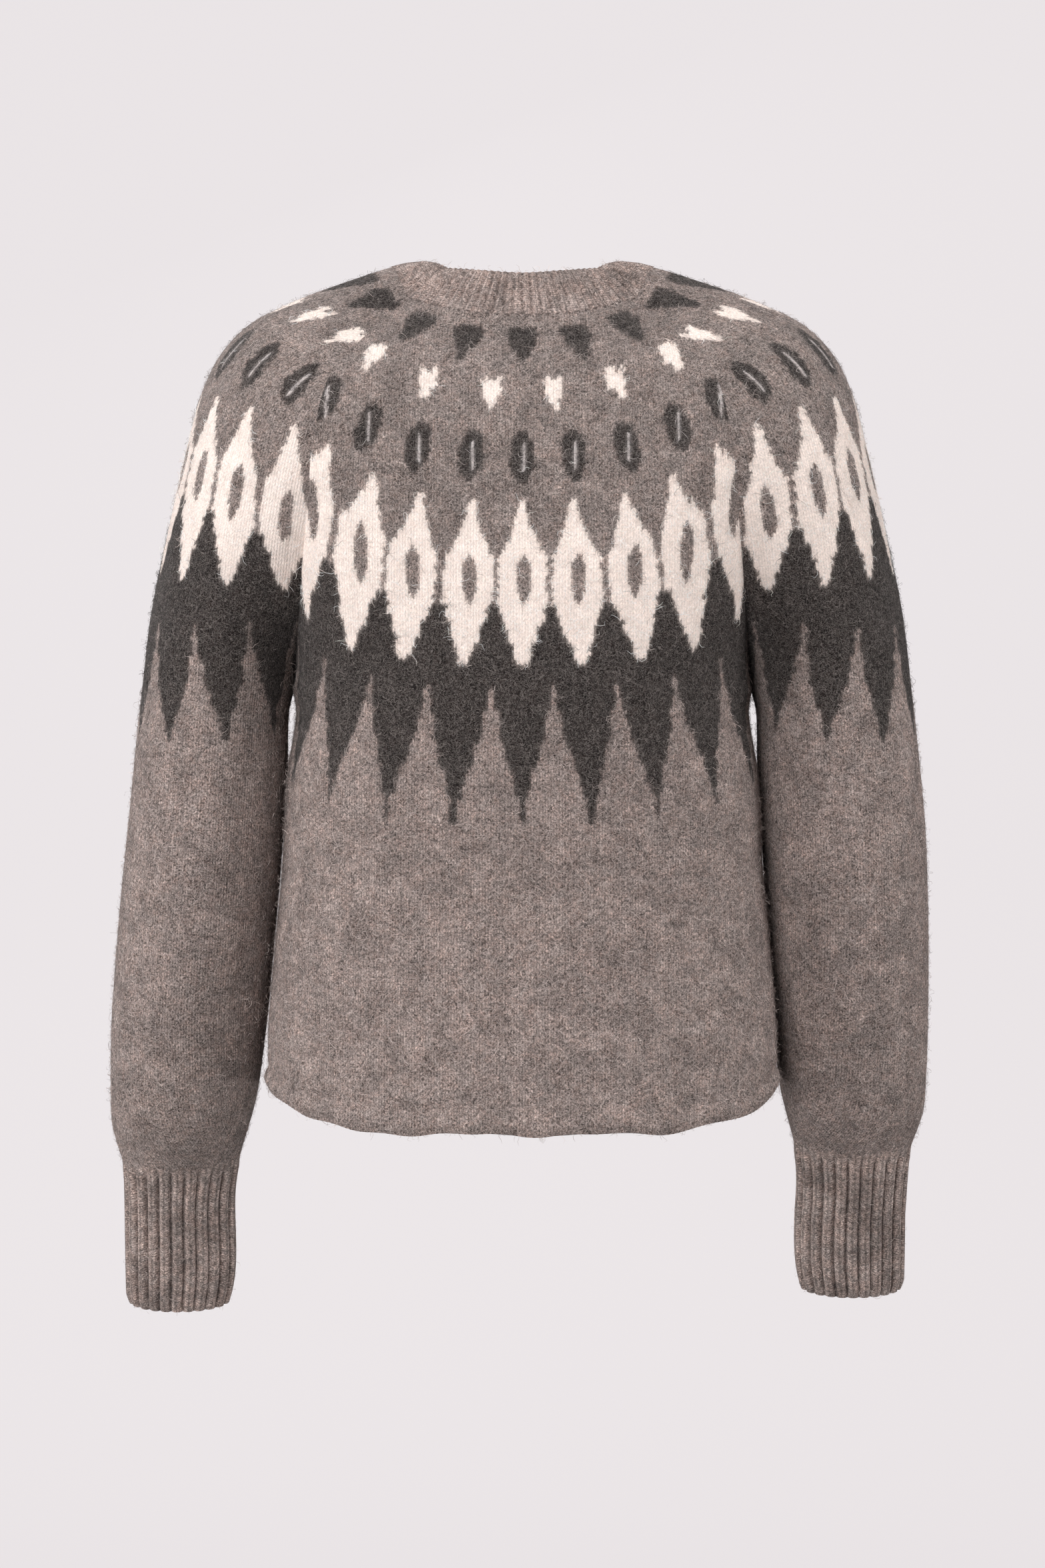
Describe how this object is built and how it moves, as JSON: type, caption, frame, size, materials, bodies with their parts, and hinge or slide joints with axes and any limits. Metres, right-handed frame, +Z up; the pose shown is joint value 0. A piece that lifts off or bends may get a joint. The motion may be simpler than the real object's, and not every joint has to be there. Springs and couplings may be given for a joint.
{
  "type": "cardigan",
  "caption": "Knitted round-yoke cardigan, buttoned at the front, with raglan sleeves, ribbed neckband and deep ribbed cuffs, filled out as worn.",
  "frame": {"origin": "on the centre plane between the shoulders, level with the shoulder tops beside the neck, where a wearer carries the garment", "axes": "+Z up, -Y the front of the garment, +Y its back, +X the wearer's left"},
  "size_m": [0.5727, 0.2436, 0.7358],
  "materials": {
    "patterned_wool": "brushed heathered taupe wool knit with a cream and charcoal yoke pattern, long soft halo fibres",
    "ribbed_wool": "heathered taupe wool rib knit, lightly brushed",
    "button_horn": "dark brown imitation horn, satin"
  },
  "bodies": {
    "root": {"back": "patterned_wool", "front_left": "patterned_wool", "front_right": "patterned_wool", "sleeve_left": "patterned_wool", "sleeve_right": "patterned_wool", "neckband": "ribbed_wool", "cuff_left": "ribbed_wool", "cuff_right": "ribbed_wool", "button_band": "ribbed_wool", "buttonhole_band": "ribbed_wool", "button_1": "button_horn", "button_2": "button_horn", "button_3": "button_horn", "button_4": "button_horn", "button_5": "button_horn", "button_6": "button_horn", "button_7": "button_horn"}
  },
  "joints": []
}
